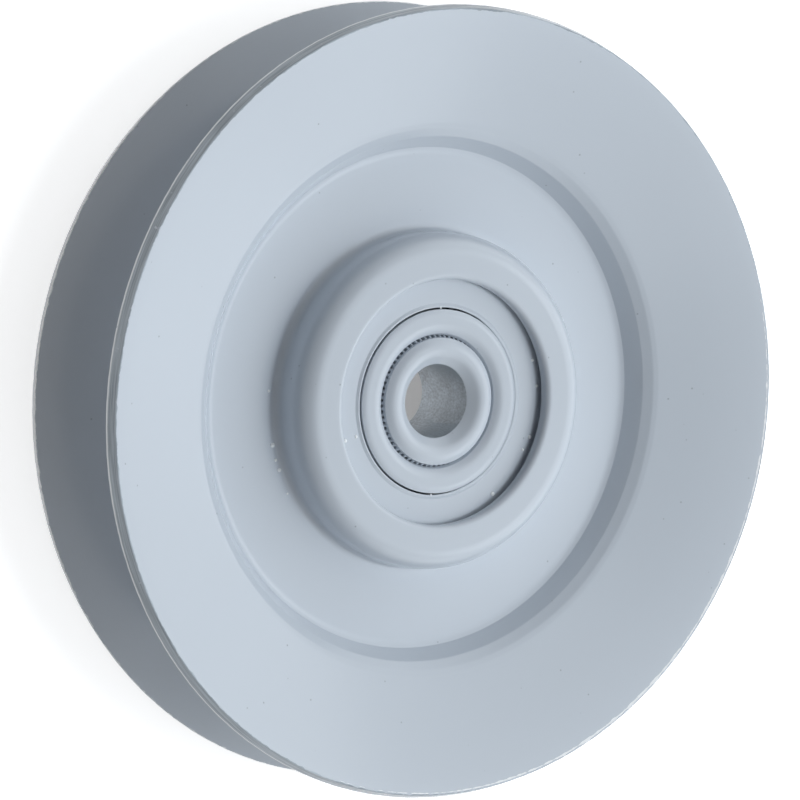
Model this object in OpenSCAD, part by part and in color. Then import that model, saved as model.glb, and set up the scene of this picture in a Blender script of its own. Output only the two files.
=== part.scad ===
// Idler pulley for a V-belt: two pressed sheet-steel halves, welded web to web round a shielded ball
// bearing, with a bushing that reduces the bearing's bore to the mounting bolt.
// The axis is Z, the origin is the middle of the bore, and the pulley lies on its rear rim.

/* [Pulley] */
// Diameter over the rims
pulley_d = 101.6; // [92:0.1:140]
// Angle between the two flanks of the belt groove, in degrees
groove_angle = 39; // [34:0.2:44]
// Thickness of the pressed sheet
sheet_t = 1.7; // [1.2:0.1:2.2]
// Diameter of the flat web, out to the foot of the step
web_d = 64.7; // [58:0.1:76]
// Height of the step between the web and the flange
step_h = 2.71; // [2.2:0.01:3.2]
// Slope of the step from the web, in degrees
step_angle = 57; // [48:1:62]
// How much steeper the flange starts at the step than it ends at the rim, in degrees
flange_ease = 18.5; // [12:0.5:22]
// Inside radius of the bend that takes up that difference
flange_ease_r = 2.3; // [1:0.1:6]
// Inside radius of the tight bends
bend_r = 0.5; // [0.3:0.1:0.7]
// Inside radius of the bend over the bearing's outer edge
hub_edge_r = 0.8; // [0.4:0.1:0.8]
// Inside radius of the bend round the foot of the hub
hub_bend_r = 1.8; // [1:0.1:2.6]
// How far the hub's lip reaches in over the bearing
lip_reach = 4.2; // [3.5:0.1:5.5]

/* [Bearing] */
// Outside diameter of the bearing
bearing_d = 40; // [38:0.5:46]
// Bore of the bearing
bearing_bore_d = 17; // [15:0.5:18]
// Width of the bearing
bearing_w = 12; // [11:0.5:16]
// Diameter of a ball
ball_d = 6.747; // [5.8:0.001:7.2]
// Number of balls
ball_count = 8; // [6:1:8]
// Depth of the ball tracks below the lands of the rings
track_depth = 1.02; // [0.8:0.01:1.3]
// Radius of a track's section as a share of the ball's diameter
track_ratio = 0.515; // [0.51:0.001:0.53]
// Rounding of the corners on the outside and in the bore of the bearing
ring_corner_r = 1; // [0.95:0.05:1.2]
// Rounding of the lands' corners
land_corner_r = 0.5; // [0.2:0.1:0.6]

/* [Shields] */
// Thickness of a shield
shield_t = 0.4; // [0.3:0.05:0.6]
// How far a shield lies in from the bearing's face
shield_inset = 0.4; // [0.35:0.05:0.9]
// How far a shield's inner edge is raised
shield_rise = 0.2; // [0.1:0.05:0.3]
// Width of the raised inner edge
shield_edge_w = 0.3; // [0.25:0.05:0.6]
// How deep a shield is let into the outer ring
shield_seat = 0.7; // [0.4:0.1:1]

/* [Cage] */
// Thickness of the cage's ribbon
cage_t = 0.6; // [0.4:0.05:0.8]
// Width of the cage's ribbon
cage_w = 2.3; // [1.8:0.1:2.8]
// Diameter of a rivet's shank
rivet_d = 0.9; // [0.6:0.1:1.2]
// Diameter of a rivet's head
rivet_head_d = 1.7; // [1.4:0.1:2]
// Height of a rivet's head
rivet_head_h = 0.4; // [0.3:0.05:0.6]

/* [Bushing] */
// Bore for the mounting bolt
bolt_bore_d = 9.525; // [8:0.005:11]
// Length of the bushing
bushing_l = 12.7; // [12:0.1:18]
// Diameter of the countersink at each end
countersink_d = 12.4; // [11.6:0.1:13]
// Depth of the countersink
countersink_h = 1.2; // [0.6:0.1:2]
// Rounding of the bushing's outer edge
bushing_edge_r = 1; // [0.4:0.1:1.4]

/* [Clearances] */
// Between a ball and its tracks
track_gap = 0.05; // [0.03:0.01:0.08]
// Between a ball and its pocket in the cage
pocket_gap = 0.1; // [0.05:0.01:0.2]
// Between a shield's inner edge and the inner ring
shield_gap = 0.22; // [0.15:0.01:0.3]
// Between pieces that are pressed or crimped together
seat_gap = 0.02; // [0.01:0.01:0.04]

/* [Hidden] */
$fn = 96;
bend_steps = 8;

bearing_r = bearing_d / 2;
bearing_face_z = bearing_w / 2;
ball_r = ball_d / 2;
pitch_r = (bearing_d + bearing_bore_d) / 4;
track_r = track_ratio * ball_d;
inner_track_r = pitch_r - ball_r - track_gap;
outer_track_r = pitch_r + ball_r + track_gap;
inner_land_r = inner_track_r + track_depth;
outer_land_r = outer_track_r - track_depth;

hub_r = bearing_r + seat_gap + sheet_t;
hub_z = bearing_face_z + sheet_t;
lip_r = bearing_r - lip_reach;
flange_angle = groove_angle / 2;
start_angle = flange_angle + flange_ease;
foot_r = web_d / 2 + step_h / tan(step_angle);
foot_z = sheet_t + step_h;
foot_run = (bend_r + sheet_t) * tan((step_angle - start_angle) / 2);
ease_run = 1.05 * (foot_run + (flange_ease_r + sheet_t) * tan(flange_ease / 2));
ease_r = foot_r + ease_run * cos(start_angle);
ease_z = foot_z + ease_run * sin(start_angle);
rim_r = pulley_d / 2 - sheet_t * sin(flange_angle);
rim_z = ease_z + (rim_r - ease_r) * tan(flange_angle);

shield_z = bearing_face_z - shield_inset;
shield_bore_r = inner_land_r + shield_gap;

pocket_r = ball_r + pocket_gap;
cage_bore_r = pitch_r - cage_w / 2;
cage_rim_r = pitch_r + cage_w / 2;
ball_pitch_angle = 360 / ball_count;

paint_colour = [0.74, 0.79, 0.83];
steel_colour = [0.72, 0.72, 0.73];
cage_colour = [0.62, 0.6, 0.56];

BALL_NODES = [for (i = [1:ball_count]) str("ball_", i)];

// Direction from one point to the next
function heading(a, b) = (b - a) / norm(b - a);

// A direction turned a quarter to the left
function left(u) = [-u.y, u.x];

// A direction turned by an angle
function turned(u, angle) = [u.x * cos(angle) - u.y * sin(angle), u.x * sin(angle) + u.y * cos(angle)];

// The arc that rounds corner b of the path a, b, c, once the path is moved to its left by d.
// The bend's inside radius is inside_r, in a sheet of thickness t that lies to the path's right.
function bend(a, b, c, inside_r, t, d) =
    let (
        u = heading(a, b),
        v = heading(b, c),
        turn = atan2(cross(u, v), u * v),
        r = inside_r + (turn < 0 ? t + d : -d),
        corner = b + d * (left(u) + left(v)) / (1 + u * v),
        start = corner - u * r * tan(abs(turn) / 2),
        centre = start + sign(turn) * r * left(u)
    )
    [for (i = [0:bend_steps]) centre - sign(turn) * r * turned(left(u), turn * i / bend_steps)];

// One side of a bent sheet, moved to the left of its path by d
function sheet_side(path, bends, t, d) =
    let (last = len(path) - 1)
    [
        path[0] + d * left(heading(path[0], path[1])),
        for (i = [1:last - 1]) each bend(path[i - 1], path[i], path[i + 1], bends[i - 1], t, d),
        path[last] + d * left(heading(path[last - 1], path[last]))
    ];

// The section of a bent sheet whose face follows the path, with one inside radius for each bend
function sheet_section(path, bends, t) =
    let (back = sheet_side(path, bends, t, -t))
    concat(sheet_side(path, bends, t, 0), [for (i = [len(back) - 1:-1:0]) back[i]]);

// A closed outline with each corner rounded to its own radius, or left sharp at 0
function rounded(corners, radii) =
    let (n = len(corners))
    [
        for (i = [0:n - 1])
            each radii[i] > 0
                ? bend(corners[(i + n - 1) % n], corners[i], corners[(i + 1) % n], radii[i], 0, 0)
                : [corners[i]]
    ];

// Children repeated once for each ball, turned on by a share of the ball spacing
module around_balls(share = 0) {
    for (i = [1:ball_count])
        rotate([0, 0, (i - 1 + share) * ball_pitch_angle])
            children();
}

// A flat ring from z = 0 up
module ring(inside_r, outside_r, height) {
    rotate_extrude()
        translate([inside_r, 0])
            square([outside_r - inside_r, height]);
}

// One pressed half, on the front side: lip, hub wall, web, step and flange in one bent sheet
module pressed_half() {
    face = [
        [lip_r, hub_z],
        [hub_r, hub_z],
        [hub_r, sheet_t],
        [web_d / 2, sheet_t],
        [foot_r, foot_z],
        [ease_r, ease_z],
        [rim_r, rim_z]
    ];
    rotate_extrude()
        polygon(sheet_section(face, [hub_edge_r, hub_bend_r, bend_r, bend_r, flange_ease_r], sheet_t));
}

module front_half() {
    color(paint_colour)
        pressed_half();
}

module rear_half() {
    color(paint_colour)
        mirror([0, 0, 1])
            pressed_half();
}

// Outer ring, with the ball track in its bore and a groove for each shield
module bearing_outer_ring() {
    corners = [
        [outer_land_r, -bearing_face_z],
        [bearing_r, -bearing_face_z],
        [bearing_r, bearing_face_z],
        [outer_land_r, bearing_face_z]
    ];
    color(steel_colour)
        rotate_extrude()
            difference() {
                polygon(rounded(corners, [land_corner_r, ring_corner_r, ring_corner_r, land_corner_r]));
                translate([outer_track_r - track_r, 0])
                    circle(track_r);
                for (side = [-1, 1])
                    translate([outer_land_r, side * (shield_z - shield_t / 2)])
                        square([2 * shield_seat, shield_t + 2 * seat_gap], center = true);
            }
}

// Inner ring, with the ball track on its outside
module bearing_inner_ring() {
    bore_r = bearing_bore_d / 2;
    corners = [
        [bore_r, -bearing_face_z],
        [inner_land_r, -bearing_face_z],
        [inner_land_r, bearing_face_z],
        [bore_r, bearing_face_z]
    ];
    color(steel_colour)
        rotate_extrude()
            difference() {
                polygon(rounded(corners, [ring_corner_r, land_corner_r, land_corner_r, ring_corner_r]));
                translate([inner_track_r + track_r, 0])
                    circle(track_r);
            }
}

// Ball number i, counted round the axis from +X
module ball(i) {
    color(steel_colour)
        rotate([0, 0, (i - 1) * ball_pitch_angle])
            translate([pitch_r, 0, 0])
                sphere(ball_r);
}

// One ribbon of the cage, on the front side: flat lands with a pocket pressed up over each ball
module cage_ribbon() {
    intersection() {
        ring(cage_bore_r, cage_rim_r, 2 * pocket_r);
        difference() {
            union() {
                cylinder(r = 2 * cage_rim_r, h = 2 * cage_t, center = true);
                around_balls()
                    translate([pitch_r, 0, 0])
                        sphere(pocket_r + cage_t);
            }
            around_balls()
                translate([pitch_r, 0, 0])
                    sphere(pocket_r);
            around_balls(share = 0.5)
                translate([pitch_r, 0, 0])
                    cylinder(d = rivet_d + 2 * seat_gap, h = 3 * cage_t, center = true);
        }
    }
}

module cage_front() {
    color(cage_colour)
        cage_ribbon();
}

module cage_rear() {
    color(cage_colour)
        mirror([0, 0, 1])
            cage_ribbon();
}

// Rivets that hold the two ribbons together, one on each land
module cage_rivets() {
    color(steel_colour)
        around_balls(share = 0.5)
            translate([pitch_r, 0, 0]) {
                cylinder(d = rivet_d, h = 2 * cage_t, center = true);
                for (side = [-1, 1])
                    translate([0, 0, side * (cage_t + rivet_head_h / 2)])
                        cylinder(d = rivet_head_d, h = rivet_head_h, center = true);
            }
}

// One shield, on the front side: a thin disc crimped into the outer ring, its inner edge raised
module shield() {
    face = [
        [shield_bore_r, shield_z + shield_rise],
        [shield_bore_r + shield_edge_w, shield_z + shield_rise],
        [shield_bore_r + shield_edge_w + shield_rise, shield_z],
        [outer_land_r + shield_seat - seat_gap, shield_z]
    ];
    shield_bend_r = shield_t / 4;
    rotate_extrude()
        polygon(sheet_section(face, [shield_bend_r, shield_bend_r], shield_t));
}

module front_shield() {
    color(paint_colour)
        shield();
}

module rear_shield() {
    color(paint_colour)
        mirror([0, 0, 1])
            shield();
}

// Bushing pressed into the bearing's bore, countersunk at both ends of its own bore
module bushing() {
    outside_r = bearing_bore_d / 2 - seat_gap;
    bore_r = bolt_bore_d / 2;
    end_z = bushing_l / 2;
    wall_z = end_z - countersink_h;
    corners = [
        [bore_r, -wall_z],
        [countersink_d / 2, -end_z],
        [outside_r, -end_z],
        [outside_r, end_z],
        [countersink_d / 2, end_z],
        [bore_r, wall_z]
    ];
    color(paint_colour)
        rotate_extrude()
            polygon(rounded(corners, [0, 0, bushing_edge_r, bushing_edge_r, 0, 0]));
}

front_half();
rear_half();
bearing_outer_ring();
bearing_inner_ring();
for (i = [1:ball_count])
    ball(i);
cage_front();
cage_rear();
cage_rivets();
front_shield();
rear_shield();
bushing();
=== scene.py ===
import bpy
import numpy as np
from mathutils import Matrix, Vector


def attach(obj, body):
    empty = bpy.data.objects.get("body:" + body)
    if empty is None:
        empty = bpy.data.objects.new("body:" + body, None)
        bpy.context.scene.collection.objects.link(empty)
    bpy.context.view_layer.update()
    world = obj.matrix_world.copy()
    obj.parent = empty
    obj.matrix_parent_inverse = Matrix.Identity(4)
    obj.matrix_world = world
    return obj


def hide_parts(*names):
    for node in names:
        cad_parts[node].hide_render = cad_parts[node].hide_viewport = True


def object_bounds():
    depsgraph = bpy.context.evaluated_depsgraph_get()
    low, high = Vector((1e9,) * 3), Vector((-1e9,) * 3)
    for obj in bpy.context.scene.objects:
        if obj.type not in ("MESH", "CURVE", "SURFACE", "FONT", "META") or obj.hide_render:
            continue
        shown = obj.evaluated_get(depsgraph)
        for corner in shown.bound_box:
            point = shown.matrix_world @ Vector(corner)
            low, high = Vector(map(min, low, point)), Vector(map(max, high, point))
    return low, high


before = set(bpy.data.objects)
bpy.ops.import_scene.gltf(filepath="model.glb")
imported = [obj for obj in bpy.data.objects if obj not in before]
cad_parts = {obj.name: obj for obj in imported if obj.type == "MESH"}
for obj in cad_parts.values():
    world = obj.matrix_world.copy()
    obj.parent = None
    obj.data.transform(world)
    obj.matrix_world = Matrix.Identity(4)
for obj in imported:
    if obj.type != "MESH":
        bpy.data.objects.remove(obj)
cad_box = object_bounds()

# Outer ring, balls, cage and rivets of the bearing: ground and polished steel, with a cage
# stamped from soft strip. They turn behind the shields, and only a crack shows them.


def add_node(tree, kind, inputs=(), **settings):
    """Adds a node to a tree: settings are its own properties, and inputs maps a socket's name
    or number to the value it holds or to the output socket that feeds it."""
    node = tree.nodes.new(kind)
    for name, value in settings.items():
        setattr(node, name, value)
    for name, value in dict(inputs).items():
        if isinstance(value, bpy.types.NodeSocket):
            tree.links.new(value, node.inputs[name])
        else:
            node.inputs[name].default_value = value
    return node


def calculate(tree, operation, *values):
    """The result of a Math node on numbers or sockets."""
    return add_node(tree, "ShaderNodeMath", dict(enumerate(values)), operation=operation).outputs[0]


def combine(tree, operation, *vectors):
    """The result of a Vector Math node: a number for a length or dot product, else a vector."""
    node = add_node(tree, "ShaderNodeVectorMath", dict(enumerate(vectors)), operation=operation)
    return node.outputs["Value" if operation in ("LENGTH", "DOT_PRODUCT") else "Vector"]


def remap(tree, value, start, end, low=0.0, high=1.0):
    """Carries a value from start..end over to low..high, and holds it at both ends."""
    return add_node(
        tree, "ShaderNodeMapRange",
        {"Value": value, "From Min": start, "From Max": end, "To Min": low, "To Max": high},
    ).outputs[0]


def blend(tree, factor, first, second, how="MIX"):
    """Goes from the first colour or value to the second as the factor goes from 0 to 1, or by that
    factor to their product where how is MULTIPLY."""
    return add_node(
        tree, "ShaderNodeMix", {"Factor": factor, "A": first, "B": second},
        data_type="RGBA", blend_type=how,
    ).outputs["Result"]


def noise(tree, place, scale, detail):
    """Noise between 0 and 1 whose largest spots are about 1 / scale across."""
    return add_node(
        tree, "ShaderNodeTexNoise", {"Vector": place, "Scale": scale, "Detail": detail}
    ).outputs["Fac"]


def object_place(tree):
    """Object coordinates in metres, which turn with the piece."""
    return add_node(tree, "ShaderNodeTexCoord").outputs["Object"]


def new_group(name, inputs, outputs):
    """Starts a shader node group from rows of (name, type, default) and (name, type)."""
    group = bpy.data.node_groups.new(name, "ShaderNodeTree")
    for socket, kind, default in inputs:
        made = group.interface.new_socket(socket, in_out="INPUT", socket_type=kind)
        made.default_value = default
    for socket, kind in outputs:
        group.interface.new_socket(socket, in_out="OUTPUT", socket_type=kind)
    return group, group.nodes.new("NodeGroupInput").outputs


def machined_steel_group():
    """Bare steel as a tool leaves it: noise stretched by Grain scale gives the tool marks, and
    slower noise stains the colour. Height is the tool marks alone."""
    stain_colour = (0.13, 0.12, 0.11, 1)
    group, entry = new_group(
        "Machined steel",
        [
            ("Colour", "NodeSocketColor", (0.5, 0.5, 0.5, 1)),
            ("Stain", "NodeSocketFloat", 0.2),
            ("Roughness", "NodeSocketFloat", 0.3),
            ("Grain scale", "NodeSocketVector", (1000, 1000, 1000)),
        ],
        [
            ("Colour", "NodeSocketColor"),
            ("Roughness", "NodeSocketFloat"),
            ("Height", "NodeSocketFloat"),
        ],
    )
    place = object_place(group)
    marks = noise(group, combine(group, "MULTIPLY", place, entry["Grain scale"]), 1, 4)
    stained = remap(group, noise(group, place, 260, 3), 0.35, 0.7, 0, entry["Stain"])
    colour = blend(group, stained, entry["Colour"], stain_colour)
    uneven = remap(group, marks, 0, 1, -0.12, 0.12)
    roughness = calculate(group, "ADD", entry["Roughness"], uneven)
    add_node(
        group, "NodeGroupOutput", {"Colour": colour, "Roughness": roughness, "Height": marks}
    )
    return group


machined_steel = machined_steel_group()


def steel_material(name, colour, stain, roughness, grain_scale, mark_depth):
    """A metal shader fed by the machined steel group, with tool marks mark_depth metres deep."""
    material = bpy.data.materials.new(name)
    material.use_nodes = True
    tree = material.node_tree
    finish = add_node(
        tree, "ShaderNodeGroup",
        {"Colour": (*colour, 1), "Stain": stain, "Roughness": roughness, "Grain scale": grain_scale},
        node_tree=machined_steel,
    ).outputs
    marks = add_node(
        tree, "ShaderNodeBump", {"Height": finish["Height"], "Strength": 0.5, "Distance": mark_depth}
    ).outputs[0]
    shader = tree.nodes["Principled BSDF"].inputs
    shader["Metallic"].default_value = 1
    tree.links.new(finish["Colour"], shader["Base Color"])
    tree.links.new(finish["Roughness"], shader["Roughness"])
    tree.links.new(marks, shader["Normal"])
    return material


bearing_steel = steel_material(
    "bearing_steel", (0.56, 0.56, 0.57), 0.3, 0.22, (500, 500, 6000), 1e-5
)
cage_strip = steel_material("cage_strip", (0.47, 0.45, 0.41), 0.5, 0.4, (1500, 1500, 1500), 2e-5)
BALLS = [f"ball_{number}" for number in range(1, 9)]
for node in ["bearing_outer_ring", "cage_rivets", *BALLS]:
    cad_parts[node].data.materials.clear()
    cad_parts[node].data.materials.append(bearing_steel)
for node in ["cage_front", "cage_rear"]:
    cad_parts[node].data.materials.clear()
    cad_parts[node].data.materials.append(cage_strip)

# Inner ring of the bearing: turned and ground steel with a ball track round its outside. Its
# ends were sprayed with the rest of the pulley, and the film draws them into a soft crown.
MM = 0.001
RING_TURNS = 480
ball_r = 6.747 / 2
ball_circle_r = 28.5 / 2
ball_play = 0.05
ring_land_r = 11.8465
ring_bore_r = 8.5
ring_end_z = 6.15
ring_crown_r = 1.7
track_edge_round = 0.05
track_r = 1.03 * ball_r
track_centre_r = ball_circle_r - ball_r - ball_play + track_r
track_inset = track_centre_r - ring_land_r
track_edge_z = np.sqrt(track_r**2 - track_inset**2)
track_tangent_r = track_centre_r - track_r**2 / track_inset
ring_end = [
    (ring_land_r, 5.88, 0.06),
    (11.3, ring_end_z, ring_crown_r),
    (9.5, ring_end_z, ring_crown_r),
    (8.72, 5.52, 0.12),
    (ring_bore_r, 5.0, 0.1),
]


def mirrored_end(end):
    """The corners of a piece's front end, mirrored and in reverse order, for its rear end."""
    return [(r, -z, rounding) for r, z, rounding in end[::-1]]


def unit(vectors):
    """Each vector at length 1."""
    return vectors / np.linalg.norm(vectors, axis=-1, keepdims=True)


def rounded_section(corners, arc_points, run_points):
    """Points of a closed (r, z) outline, from rows of r, z and the radius that rounds the corner.

    A corner that turns by t gives way to an arc of its radius, which starts radius * tan(t / 2)
    before the corner. Straight runs are cut at cosine steps, so points crowd towards the arcs.
    """
    corner, radius = np.split(np.array(corners, float), [2], axis=1)
    ahead = unit(np.roll(corner, -1, 0) - corner)
    behind = unit(corner - np.roll(corner, 1, 0))
    turn = np.arctan2(
        behind[:, :1] * ahead[:, 1:] - behind[:, 1:] * ahead[:, :1],
        (behind * ahead).sum(1, keepdims=True),
    )
    inward = np.sign(turn) * np.stack([-behind[:, 1], behind[:, 0]], 1)
    start = corner - behind * radius * np.tan(np.abs(turn) / 2)
    centre = start + inward * radius
    swing = turn * np.linspace(0, 1, arc_points)
    spoke = -inward * radius
    arc = centre[:, None] + np.stack(
        [
            spoke[:, :1] * np.cos(swing) - spoke[:, 1:] * np.sin(swing),
            spoke[:, :1] * np.sin(swing) + spoke[:, 1:] * np.cos(swing),
        ],
        -1,
    )
    share = (1 - np.cos(np.pi * np.arange(1, run_points + 1) / (run_points + 1))) / 2
    run_end = np.roll(arc[:, 0], -1, 0)
    run = arc[:, -1:] + (run_end - arc[:, -1])[:, None] * share[:, None]
    return np.concatenate([arc, run], 1).reshape(-1, 2)


def ring_surface(name, section, turns, worked=None):
    """Carries a closed counter-clockwise section round the Z axis, in millimetres.

    The point at angle a and section place s is (r cos a, r sin a, z), once worked(a, r, z) has
    moved r and z where the piece isn't round. Returns the object and the radius of its vertices.
    """
    angle = np.linspace(0, 2 * np.pi, turns, endpoint=False)[:, None]
    r, z = np.repeat(section.T[:, None], turns, 1)
    if worked:
        r, z = worked(angle, r, z)
    points = np.stack([r * np.cos(angle), r * np.sin(angle), z], -1) * MM
    index = np.arange(r.size).reshape(r.shape)
    next_turn = np.roll(index, -1, 0)
    quads = np.stack([index, next_turn, np.roll(next_turn, -1, 1), np.roll(index, -1, 1)], -1)
    mesh = bpy.data.meshes.new(name)
    mesh.vertices.add(r.size)
    mesh.vertices.foreach_set("co", points.ravel())
    mesh.loops.add(quads.size)
    mesh.loops.foreach_set("vertex_index", quads.ravel())
    mesh.polygons.add(r.size)
    mesh.polygons.foreach_set("loop_start", np.arange(0, quads.size, 4))
    mesh.update(calc_edges=True)
    mesh.shade_smooth()
    piece = bpy.data.objects.new(name, mesh)
    bpy.context.collection.objects.link(piece)
    return piece, r.ravel()


def sprayed_paint_group():
    """Sprayed semi-gloss paint: slow noise mottles the colour, fine noise is its orange peel, and
    cell points that come close to the surface are nibs of dust caught in the film."""
    dust_colour = (0.22, 0.25, 0.27, 1)
    peel_height = 0.15
    group, entry = new_group(
        "Sprayed paint",
        [
            ("Colour", "NodeSocketColor", (0.5, 0.55, 0.6, 1)),
            ("Mottle", "NodeSocketFloat", 0.03),
            ("Roughness", "NodeSocketFloat", 0.3),
            ("Nibs", "NodeSocketFloat", 0.5),
        ],
        [
            ("Colour", "NodeSocketColor"),
            ("Roughness", "NodeSocketFloat"),
            ("Height", "NodeSocketFloat"),
        ],
    )
    place = object_place(group)
    cloud = calculate(group, "SUBTRACT", noise(group, place, 28, 1), 0.5)
    shade = calculate(group, "MULTIPLY_ADD", cloud, entry["Mottle"], 1.0)
    mottled = blend(group, 1, entry["Colour"], shade, "MULTIPLY")
    cells = add_node(group, "ShaderNodeTexVoronoi", {"Vector": place, "Scale": 330}).outputs
    nib = remap(group, cells["Distance"], 0.015, 0.055, 1, 0)
    dusted = calculate(group, "MULTIPLY", nib, entry["Nibs"])
    colour = blend(group, dusted, mottled, dust_colour)
    roughness = calculate(group, "MULTIPLY_ADD", cloud, 0.1, entry["Roughness"])
    height = calculate(group, "MULTIPLY_ADD", noise(group, place, 750, 1), peel_height, nib)
    add_node(
        group, "NodeGroupOutput", {"Colour": colour, "Roughness": roughness, "Height": height}
    )
    return group


sprayed_paint = sprayed_paint_group()
PAINT_COLOUR = (0.598, 0.642, 0.698)


def paint_material(name, mottle=0.08, roughness=0.2, nibs=0.6):
    """A paint shader fed by the sprayed paint group. Returns the material, its node tree, the
    shader's inputs and the group's outputs, for what a piece adds to them."""
    material = bpy.data.materials.new(name)
    material.use_nodes = True
    tree = material.node_tree
    film = add_node(
        tree, "ShaderNodeGroup",
        {"Colour": (*PAINT_COLOUR, 1), "Mottle": mottle, "Roughness": roughness, "Nibs": nibs},
        node_tree=sprayed_paint,
    ).outputs
    relief = add_node(
        tree, "ShaderNodeBump", {"Height": film["Height"], "Strength": 0.4, "Distance": 4e-5}
    ).outputs[0]
    shader = tree.nodes["Principled BSDF"].inputs
    tree.links.new(film["Colour"], shader["Base Color"])
    tree.links.new(film["Roughness"], shader["Roughness"])
    tree.links.new(relief, shader["Normal"])
    return material, tree, shader, film


ring_section = rounded_section(
    [
        *mirrored_end(ring_end),
        (ring_land_r, -track_edge_z, track_edge_round),
        (track_tangent_r, 0, track_r),
        (ring_land_r, track_edge_z, track_edge_round),
        *ring_end,
    ],
    arc_points=8, run_points=3,
)
inner_ring, _ = ring_surface("inner_ring", ring_section, RING_TURNS)
inner_ring.data.materials.append(paint_material("ring_paint", nibs=0.3)[0])
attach(inner_ring, "hub")
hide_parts("bearing_inner_ring")

# Shields of the bearing: thin pressed discs crimped into the outer ring, with a raised inner
# edge that stands just clear of the inner ring. Paint bridges that crack in places.
shield_bore_r = 12.06
shield_edge_r = 12.28
shield_slope_r = 12.62
shield_rim_r = 17.334
shield_z = 5.6
shield_edge_z = 5.8
shield_t = 0.4
slope_inset = 0.17
bridge_reach = 0.13
shield_section = rounded_section(
    [
        (shield_bore_r, shield_edge_z - shield_t, 0.08),
        (shield_edge_r - slope_inset, shield_edge_z - shield_t, 0.1),
        (shield_slope_r - slope_inset, shield_z - shield_t, 0.1),
        (shield_rim_r, shield_z - shield_t, 0.05),
        (shield_rim_r, shield_z, 0.05),
        (shield_slope_r, shield_z, 0.12),
        (shield_edge_r, shield_edge_z, 0.12),
        (shield_bore_r, shield_edge_z, 0.12),
    ],
    arc_points=7, run_points=4,
)


def flip_section(section):
    """The section mirrored to the rear side, in reverse order to stay counter-clockwise."""
    return section[::-1] * (1, -1)


def bridged(angle, r, z):
    """Draws the shield's bore in towards the inner ring on the +X side, where paint fills the crack:
    the fill follows the cosine of the angle, with sines that make it waver, between 0 and 1."""
    waver = 0.5 + 0.3 * np.sin(9 * angle) + 0.2 * np.sin(23 * angle + 1)
    fill = np.clip(2.2 * np.cos(angle) - 0.5 + 0.5 * waver, 0, 1)
    near_bore = np.clip((shield_edge_r - r) / (shield_edge_r - shield_bore_r), 0, 1)
    return r - bridge_reach * fill * near_bore, z


shield_paint = paint_material("shield_paint", nibs=0.4)[0]
for name, section in (
    ("front_shield", shield_section), ("rear_shield", flip_section(shield_section))
):
    shield, _ = ring_surface(f"{name}_disc", section, RING_TURNS, bridged)
    shield.data.materials.append(shield_paint)
    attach(shield, "pulley")
    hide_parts(name)

# Bushing: a collar turned from bar, with straight knurling on its outside that bites into the
# bearing's bore. Its ends are painted and its bolt bore, masked by the hanger, stayed bare.
BUSHING_TURNS = 840
bushing_r = 8.49
bushing_end_z = 6.35
bushing_crown_r = 1.65
bolt_bore_r = 4.7625
bore_wall_z = 5.15
bore_edge_round = 0.15
countersink_r = 6.2
countersink_crown_r = 1.6
knurl_count = 70
knurl_depth = 0.6
knurl_land = 0.3
knurl_start_r = 8.25
knurl_runout = 0.1
bushing_end = [
    (bushing_r, 4.95, 0.04),
    (8.24, 5.35, 0.04),
    (8.2, 5.74, 0.06),
    (7.35, bushing_end_z, bushing_crown_r),
    (countersink_r, bushing_end_z, countersink_crown_r),
]
bushing_section = rounded_section(
    [
        (bolt_bore_r, -bore_wall_z, bore_edge_round),
        *mirrored_end(bushing_end),
        *bushing_end,
        (bolt_bore_r, bore_wall_z, bore_edge_round),
    ],
    arc_points=6, run_points=3,
)


def knurled(angle, r, z):
    """Cuts the knurl: a wave, the cosine of the angle times the number of teeth, leaves lands where
    it is above knurl_land and sinks the outside below that. The cut runs out under each end."""
    wave = np.cos(knurl_count * angle)
    groove = np.clip(knurl_land - wave, 0, None) / (knurl_land + 1)
    reach = np.clip((r - knurl_start_r) / knurl_runout, 0, 1)
    return r - knurl_depth * reach * groove, z


bushing, bushing_radius = ring_surface("bushing_collar", bushing_section, BUSHING_TURNS, knurled)
unpainted_depth = 0.02
bare_bore = (bushing_radius < bolt_bore_r + unpainted_depth).astype(np.float32)
bushing.data.attributes.new("bare_bore", "FLOAT", "POINT").data.foreach_set("value", bare_bore)
bore_colour = (0.76, 0.81, 0.86, 1)
# Colour of the bore's lower dark band and of the painted shade along its upper side.
bore_dark_colour = (0.46, 0.52, 0.57, 1)
bushing_paint, tree, shader, film = paint_material("bushing_paint", nibs=0.2)
bare = add_node(tree, "ShaderNodeAttribute", attribute_name="bare_bore").outputs["Fac"]
drilled = add_node(
    tree, "ShaderNodeGroup",
    {"Colour": bore_colour, "Stain": 0.2, "Roughness": 0.45, "Grain scale": (3200, 3200, 2400)},
    node_tree=machined_steel,
).outputs
place = object_place(tree)
side = add_node(tree, "ShaderNodeSeparateXYZ", {0: place}).outputs
# The wall is grainy, and a painted shade darkens it towards the front end.
grain = remap(tree, drilled["Height"], 0.3, 0.7, 0.75, 1.12)
painted_front_shade = remap(tree, side["Z"], -1 * MM, 4.5 * MM, 1.0, 0.72)
grained_and_shaded = blend(
    tree, 1, drilled["Colour"], calculate(tree, "MULTIPLY", grain, painted_front_shade), "MULTIPLY"
)
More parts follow.
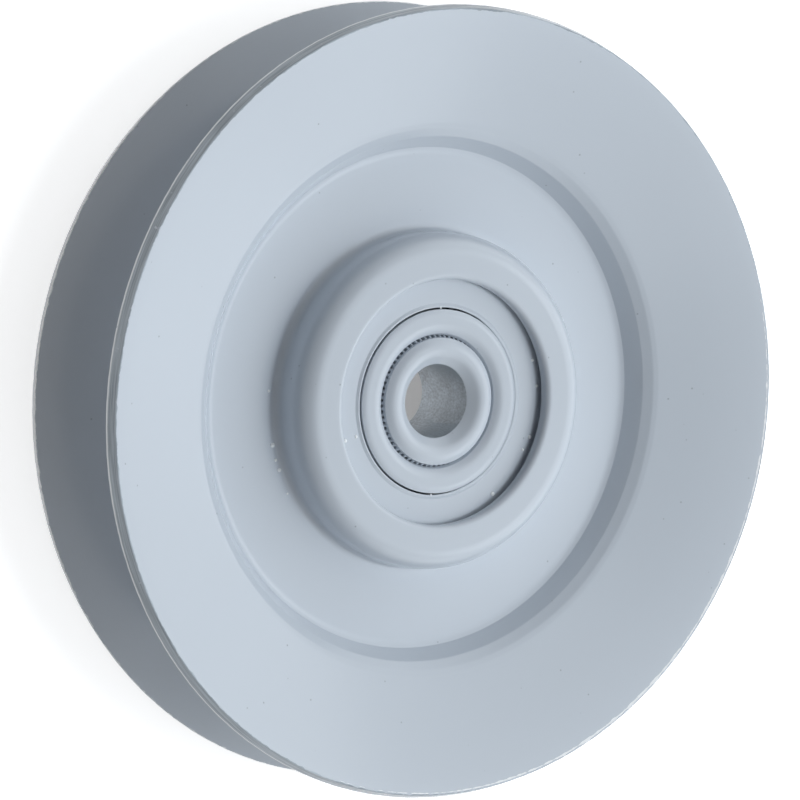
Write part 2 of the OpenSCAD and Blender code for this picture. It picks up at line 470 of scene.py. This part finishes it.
# Darker along the lower side and a painted shade along the upper side, both with a ragged edge, and
# both thin out towards the rear.
ragged_side = calculate(tree, "MULTIPLY_ADD", noise(tree, place, 700, 4), 2.2 * MM, side["Y"])
lower_dark = remap(tree, ragged_side, -1.6 * MM, -1.3 * MM, 0.66, 0.0)
upper_painted_shade = remap(tree, ragged_side, 3.4 * MM, 5.2 * MM, 0.0, 0.55)
darkened_length = remap(tree, side["Z"], -3.5 * MM, 0.5 * MM)
dark_and_painted_shade = calculate(tree, "MULTIPLY", calculate(tree, "MAXIMUM", lower_dark, upper_painted_shade), darkened_length)
darkened_bore = blend(tree, dark_and_painted_shade, grained_and_shaded, bore_dark_colour)
wall_relief = calculate(tree, "MULTIPLY", drilled["Height"], 6.0)
tree.links.new(blend(tree, bare, film["Colour"], darkened_bore), shader["Base Color"])
tree.links.new(blend(tree, bare, film["Roughness"], drilled["Roughness"]), shader["Roughness"])
tree.links.new(blend(tree, bare, film["Height"], wall_relief), tree.nodes["Bump"].inputs["Height"])
tree.links.new(bare, shader["Metallic"])
bushing.data.materials.append(bushing_paint)
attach(bushing, "hub")
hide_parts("bushing")

# The two halves: dishes pressed from 1.7 mm sheet steel, welded web to web so that their lips
# grip the bearing and their flanges make the belt groove. They were painted once assembled.
HALF_TURNS = 540
rim_r, _, rim_z = np.array(cad_box[1]) / MM
sheet_t = 1.7
lip_r = 15.8
hub_r = 21.72
hub_z = 7.7
web_z = sheet_t
web_rise_r = 31.75
step_base = np.array([32.41, 2.02])
step_top = np.array([33.85, 4.15])
step_top_back = step_top + (1.35, -1.05)
step_base_back_r = step_base[0] + 0.92
ease_start = np.array([34.95, 5.01])
ease_end = np.array([35.6, 5.298])
flange_tilt = np.radians(19.5)
along_flange = np.array([np.cos(flange_tilt), np.sin(flange_tilt)])
flange_back = sheet_t * np.array([np.sin(flange_tilt), -np.cos(flange_tilt)])
rim_face = np.array([rim_r - flange_back[0], rim_z])
half_section = rounded_section(
    [
        (lip_r, hub_z - sheet_t, 0.4),
        (hub_r - sheet_t, hub_z - sheet_t, 0.8),
        (hub_r - sheet_t, 0, 0.3),
        (step_base_back_r, 0, 2),
        (*step_top_back, 0.6),
        (*ease_end + flange_back, 2),
        (*rim_face + flange_back, 0.18),
        (*rim_face, 0.14),
        (*ease_end, 4),
        (*ease_start, 1.5),
        (*step_top, 0.8),
        (*step_base, 0.12),
        (web_rise_r, web_z, 2),
        (hub_r, web_z, 1.0),
        (hub_r, hub_z, 2.6),
        (lip_r, hub_z, 0.7),
    ],
    arc_points=7, run_points=4,
)
shear_depth = 0.2


def sheared(angle, r, z):
    """Wavers the sheared edge at the rim by about 0.02 mm, with a sum of sines round the axis that
    fades out over shear_depth inside the face's edge."""
    waver = 0.006 * np.sin(61 * angle) + 0.008 * (np.sin(109 * angle + 1) + np.sin(197 * angle + 3))
    return r + waver * np.clip((r - rim_face[0] + shear_depth) / shear_depth, 0, 1), z


cut_dark = (0.27, 0.31, 0.35, 1)
cut_bright = (0.52, 0.58, 0.64, 1)
# The pale line along the cut edge's groove side is a painted highlight.
cut_painted_highlight = (0.95, 0.97, 0.98, 1)
# A painted highlight: a white line just inside the rim's edge.
highlight_white = (0.97, 0.98, 0.99, 1)
highlight_inset = 0.3
highlight_side = (9, -6.5, 0)
highlight_least = 0.14
ragged_reach = 0.6
half_paint, tree, shader, film = paint_material("half_paint")
place = object_place(tree)
axes = add_node(tree, "ShaderNodeSeparateXYZ", {0: place}).outputs
flat_place = add_node(tree, "ShaderNodeCombineXYZ", {"X": axes["X"], "Y": axes["Y"]}).outputs[0]
on_section = add_node(
    tree, "ShaderNodeCombineXYZ",
    {"X": combine(tree, "LENGTH", flat_place), "Y": calculate(tree, "ABSOLUTE", axes["Z"])},
).outputs[0]
# The cut edge: past_face is millimetres out past the face, and down_edge goes from 0 to 1 across
# the sheet. Steel streaked by the shear shows there, with a painted highlight, a pale line, on the
# groove's side.
from_rim = combine(tree, "SUBTRACT", on_section, (*rim_face * MM, 0))
past_face = combine(tree, "DOT_PRODUCT", from_rim, (*along_flange / MM, 0))
down_edge = combine(tree, "DOT_PRODUCT", from_rim, (*flange_back / sheet_t**2 / MM, 0))
ragged = noise(tree, place, 900, 3)
past_ragged = calculate(tree, "MULTIPLY_ADD", ragged, ragged_reach, past_face)
streaks = noise(tree, combine(tree, "MULTIPLY", place, (130, 130, 5200)), 1, 4)
streaked = blend(tree, remap(tree, streaks, 0.3, 0.7), cut_dark, cut_bright)
streaked_and_highlit = blend(tree, remap(tree, down_edge, 0.76, 0.86), streaked, cut_painted_highlight)
shown = blend(tree, remap(tree, past_ragged, 0.15, 0.19), film["Colour"], streaked_and_highlit)
# The painted highlight: a white line painted just inside the edge, wider the further round to +X and
# -Y.
off_line = calculate(tree, "ABSOLUTE", calculate(tree, "ADD", past_face, highlight_inset))
highlight_share = combine(tree, "DOT_PRODUCT", place, highlight_side)
highlight_width = calculate(tree, "MULTIPLY_ADD", ragged, highlight_share, -highlight_least)
painted_highlight = calculate(tree, "GREATER_THAN", highlight_width, off_line)
tree.links.new(blend(tree, painted_highlight, shown, highlight_white), shader["Base Color"])
for name, section in (("front_half", half_section), ("rear_half", flip_section(half_section))):
    half, _ = ring_surface(f"{name}_dish", section, HALF_TURNS, sheared)
    half.data.materials.append(half_paint)
    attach(half, "pulley")
    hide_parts(name)

# Drops of paint: small domes of dried enamel that the spray left along the lip's crack, in the
# crack round the inner ring and at the foot of the hub. They stick to the pulley.
DROP_ROWS, DROP_COLUMNS = 9, 16
drop_flatness = 0.5
crack_z = shield_edge_z - 0.04
# Each drop is given by its radius, its degrees round from +X and its half width.
lip_drops = [
    (15.5, 28.6, 0.24), (15.54, 15.7, 0.22), (15.47, -9.3, 0.28),
    (15.15, -16.5, 0.2), (15.28, -43.9, 0.3),
]
crack_drops = [(12.04, 100.5, 0.15), (12.04, -83.7, 0.15)]
shield_drops = [(13.05, -151.5, 0.22), (14.75, -151.8, 0.26)]
foot_drops = [
    (23.2, -174.0, 0.2), (22.98, -156.8, 0.32), (23.0, -151.8, 0.22),
    (22.9, -148.3, 0.28), (23.05, -140.0, 0.16),
]
drops = np.array([
    (*drop, z)
    for group, z in (
        (lip_drops, shield_z), (crack_drops, crack_z), (shield_drops, shield_z), (foot_drops, web_z)
    )
    for drop in group
])


def drop_surfaces(name, rows):
    """Flat round drops in one mesh: each is an ellipsoid, a unit sphere of latitude and longitude
    scaled to its half width across and to drop_flatness of that in height, with its centre at
    its radius, degrees and z."""
    polar = np.linspace(0, np.pi, DROP_ROWS)[1:-1, None]
    turn = np.linspace(0, 2 * np.pi, DROP_COLUMNS, endpoint=False)
    belt = np.stack(np.broadcast_arrays(
        np.sin(polar) * np.cos(turn), np.sin(polar) * np.sin(turn), np.cos(polar)
    ), -1).reshape(-1, 3)
    ball = np.concatenate([belt, [(0, 0, 1), (0, 0, -1)]])
    index = np.arange(len(belt)).reshape(-1, DROP_COLUMNS)
    after = np.roll(index, -1, 1)
    quads = np.stack([index[:-1], index[1:], after[1:], after[:-1]], -1).reshape(-1, 4)
    top = np.stack([index[0], after[0], np.full(DROP_COLUMNS, len(belt))], -1)
    bottom = np.stack([after[-1], index[-1], np.full(DROP_COLUMNS, len(belt) + 1)], -1)
    step = len(ball) * np.arange(len(rows))[:, None, None]
    radius, degrees, half_width, z = rows.T
    angle = np.radians(degrees)
    centre = np.stack([radius * np.cos(angle), radius * np.sin(angle), z], -1)
    points = centre[:, None] + ball * (half_width[:, None] * (1, 1, drop_flatness))[:, None]
    faces = (quads + step).reshape(-1, 4).tolist()
    faces += (top + step).reshape(-1, 3).tolist()
    faces += (bottom + step).reshape(-1, 3).tolist()
    mesh = bpy.data.meshes.new(name)
    mesh.from_pydata((points.reshape(-1, 3) * MM).tolist(), [], faces)
    mesh.shade_smooth()
    piece = bpy.data.objects.new(name, mesh)
    bpy.context.collection.objects.link(piece)
    return piece


paint_drops = drop_surfaces("paint_drops", drops)
# The drops are mixed most of the way to white: a painted highlight on them.
drop_highlight_white = (0.97, 0.98, 0.98, 1)
drop_highlight_paint, tree, shader, film = paint_material("drop_highlight_paint", roughness=0.12, nibs=0.0)
tree.links.new(blend(tree, 0.85, film["Colour"], drop_highlight_white), shader["Base Color"])
paint_drops.data.materials.append(drop_highlight_paint)
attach(paint_drops, "pulley")

# Studio: a pale floor under the rear rim, and daylight softboxes above, to the right, behind and
# in front. A small lamp high on the right draws the hub's shadow, and a low strip at the left
# lights the groove.
FLOOR_HALF = 3.0
floor_mesh = bpy.data.meshes.new("floor")
floor_mesh.from_pydata(
    [(x * FLOOR_HALF, y * FLOOR_HALF, -rim_z * MM) for x, y in ((-1, -1), (1, -1), (1, 1), (-1, 1))],
    [], [(0, 1, 2, 3)],
)
floor = bpy.data.objects.new("floor", floor_mesh)
bpy.context.collection.objects.link(floor)


def seen_white(tree):
    """1 for a ray from the camera, a mirror or glass, which sees the background white, else 0."""
    ray = add_node(tree, "ShaderNodeLightPath").outputs
    direct = calculate(tree, "MAXIMUM", ray["Is Camera Ray"], ray["Is Glossy Ray"])
    return calculate(tree, "MAXIMUM", direct, ray["Is Transmission Ray"])


# The floor is white to the camera, and its glow is turned down near the axis: a painted shade under
# the pulley, beside the pulley's real shadow.
floor_white = bpy.data.materials.new("floor_white")
floor_white.use_nodes = True
tree = floor_white.node_tree
glow_and_painted_shade = add_node(
    tree, "ShaderNodeMapRange",
    {
        "Value": combine(tree, "LENGTH", object_place(tree)),
        "From Min": 0.02, "From Max": 0.056, "To Min": 0.3, "To Max": 0.78,
    },
    interpolation_type="SMOOTHSTEP",
).outputs[0]
shader = tree.nodes["Principled BSDF"].inputs
shader["Base Color"].default_value = (0.64, 0.64, 0.64, 1)
shader["Roughness"].default_value = 0.9
shader["Specular IOR Level"].default_value = 0
shader["Emission Color"].default_value = (1, 1, 1, 1)
tree.links.new(calculate(tree, "MULTIPLY", seen_white(tree), glow_and_painted_shade), shader["Emission Strength"])
floor_mesh.materials.append(floor_white)


def aimed(tilt, turn, roll=0):
    """Axes of what looks at the origin from tilt degrees off the vertical and turn degrees round
    from +X, as columns: across and up, rolled by roll degrees about the third, which points back."""
    tilt, turn, roll = np.radians((tilt, turn, roll))
    back = np.array([np.sin(tilt) * np.cos(turn), np.sin(tilt) * np.sin(turn), np.cos(tilt)])
    level = unit(np.cross((0, 1, 0), back))
    upright = np.cross(back, level)
    across = level * np.cos(roll) + upright * np.sin(roll)
    return np.stack([across, np.cross(back, across), back], 1)


DAYLIGHT = (0.94, 1.0, 1.05)
LAMP_DISTANCE = 0.7


def softbox(name, tilt, turn, size, level, colour=DAYLIGHT, mirrored=True):
    """An area lamp that faces the origin. Its level is what it adds to a white surface that faces
    it: an area lamp of power P gives P / (pi * distance)^2 there. Gloss shows it if mirrored."""
    lamp = bpy.data.lights.new(name, "AREA")
    lamp.shape = "RECTANGLE"
    lamp.color = colour
    lamp.size, lamp.size_y = size
    lamp.energy = level * (np.pi * LAMP_DISTANCE) ** 2
    box = bpy.data.objects.new(name, lamp)
    axes = aimed(tilt, turn)
    box.matrix_world = Matrix.Translation(axes[:, 2] * LAMP_DISTANCE) @ Matrix(axes).to_4x4()
    box.visible_glossy = mirrored
    bpy.context.collection.objects.link(box)


softbox("key_lamp", 18, 0, (0.14, 0.14), 0.27, mirrored=False)
softbox("softbox_high", 25, 0, (0.65, 0.65), 0.175)
softbox("softbox_right", 65, 0, (0.65, 0.65), 0.29)
softbox("softbox_back", 45, 50, (0.65, 0.65), 0.18)
softbox("softbox_front", 45, -50, (0.65, 0.65), 0.18)
softbox("softbox_back_low", 70, 60, (0.5, 0.5), 0.11)
softbox("softbox_front_low", 70, -60, (0.5, 0.5), 0.11)
softbox("strip_left", 88.8, 180, (0.04, 1.4), 0.36, colour=(1.0, 1.0, 1.0))

world = bpy.data.worlds.new("studio")
bpy.context.scene.world = world
world.use_nodes = True
tree = world.node_tree
ambient = tree.nodes["Background"].inputs
ambient["Color"].default_value = (1, 1, 1, 1)
tree.links.new(remap(tree, seen_white(tree), 0, 1, 0.04, 1.0), ambient["Strength"])

camera_place = (-0.30674, -0.00068, 0.44755)
camera_tilt = 34.2494
camera_roll = 9.9739
lens = bpy.data.cameras.new("camera")
lens.lens = 188.96
lens.sensor_width = 36
camera = bpy.data.objects.new("camera", lens)
camera_axes = Matrix(aimed(camera_tilt, 180, camera_roll))
camera.matrix_world = Matrix.Translation(camera_place) @ camera_axes.to_4x4()
bpy.context.collection.objects.link(camera)
bpy.context.scene.camera = camera
bpy.context.scene.view_settings.view_transform = "Standard"
